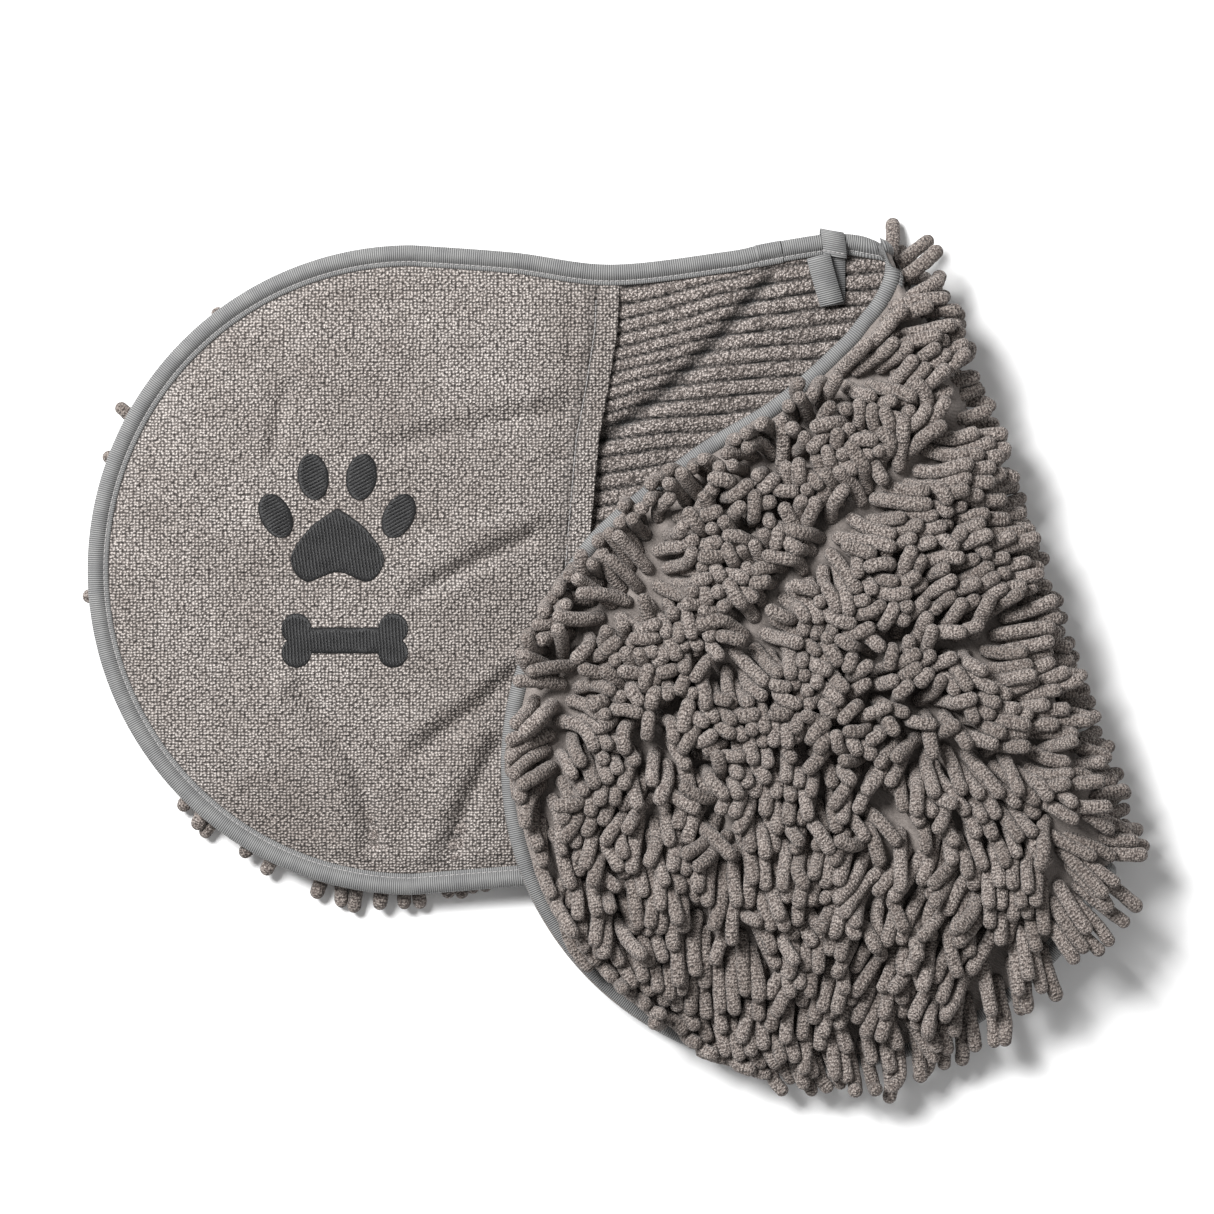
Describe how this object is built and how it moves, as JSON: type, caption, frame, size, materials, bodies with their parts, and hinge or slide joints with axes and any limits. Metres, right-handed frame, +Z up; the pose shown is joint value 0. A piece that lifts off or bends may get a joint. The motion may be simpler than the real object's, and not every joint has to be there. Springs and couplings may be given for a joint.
{
  "type": "pet drying towel",
  "caption": "Long round-ended drying towel with a chenille pile, a hand pocket at each end, bound edges and a hanging loop, folded in half.",
  "frame": {"origin": "middle of the base of the bounding box, on the lower half's pile", "axes": "+X from the lower half's round end towards the fold, +Z up from the surface the towel lies on, +Y across the towel towards the edge with the hanging loop"},
  "size_m": [0.5604, 0.453, 0.0614],
  "materials": {
    "chenille": "matte microfibre chenille pile",
    "backing": "matte woven backing",
    "lining": "matte ribbed lining",
    "terry": "matte terry",
    "binding": "ribbed woven tape",
    "thread": "matte sewing thread",
    "embroidery": "satin-stitched thread"
  },
  "bodies": {
    "lower_half": {"chenille_pile_lower": "chenille", "backing_lower": "backing", "lining_lower": "lining", "pocket_lower": "terry", "pocket_hem_lower": "terry", "hem_stitching_lower": "thread", "binding_lower": "binding", "binding_stitching_lower": "thread", "binding_join": "binding", "loop_anchor": "binding", "embroidered_pad": "embroidery", "embroidered_toe_1": "embroidery", "embroidered_toe_2": "embroidery", "embroidered_toe_3": "embroidery", "embroidered_toe_4": "embroidery", "embroidered_bone": "embroidery"},
    "fold_strip": {"chenille_pile_fold": "chenille", "backing_fold": "backing", "lining_fold": "lining", "binding_fold_top": "binding", "binding_fold_end": "binding"},
    "upper_half": {"chenille_pile_upper": "chenille", "backing_upper": "backing", "lining_upper": "lining", "pocket_upper": "terry", "pocket_hem_upper": "terry", "hem_stitching_upper": "thread", "binding_upper": "binding", "binding_stitching_upper": "thread"},
    "loop": {"hanging_loop": "binding"}
  },
  "joints": [
    {"name": "fold_lower", "type": "hinge", "parent": "lower_half", "child": "fold_strip", "pos_m": [0.20726, 0.0445, 0.0198], "axis": [-0.3285, 0.9445, 0], "range_deg": [0, 90]},
    {"name": "fold_upper", "type": "hinge", "parent": "fold_strip", "child": "upper_half", "pos_m": [0.20726, 0.0445, 0.0416], "axis": [-0.3285, 0.9445, 0], "range_deg": [0, 90]},
    {"name": "loop_swing", "type": "hinge", "parent": "lower_half", "child": "loop", "pos_m": [0.11958, 0.21135, 0.027], "axis": [-1, 0, 0], "range_deg": [0, 180]}
  ],
  "couplings": [
    {"joint": "fold_upper", "follows": "fold_lower", "ratio": 1}
  ]
}
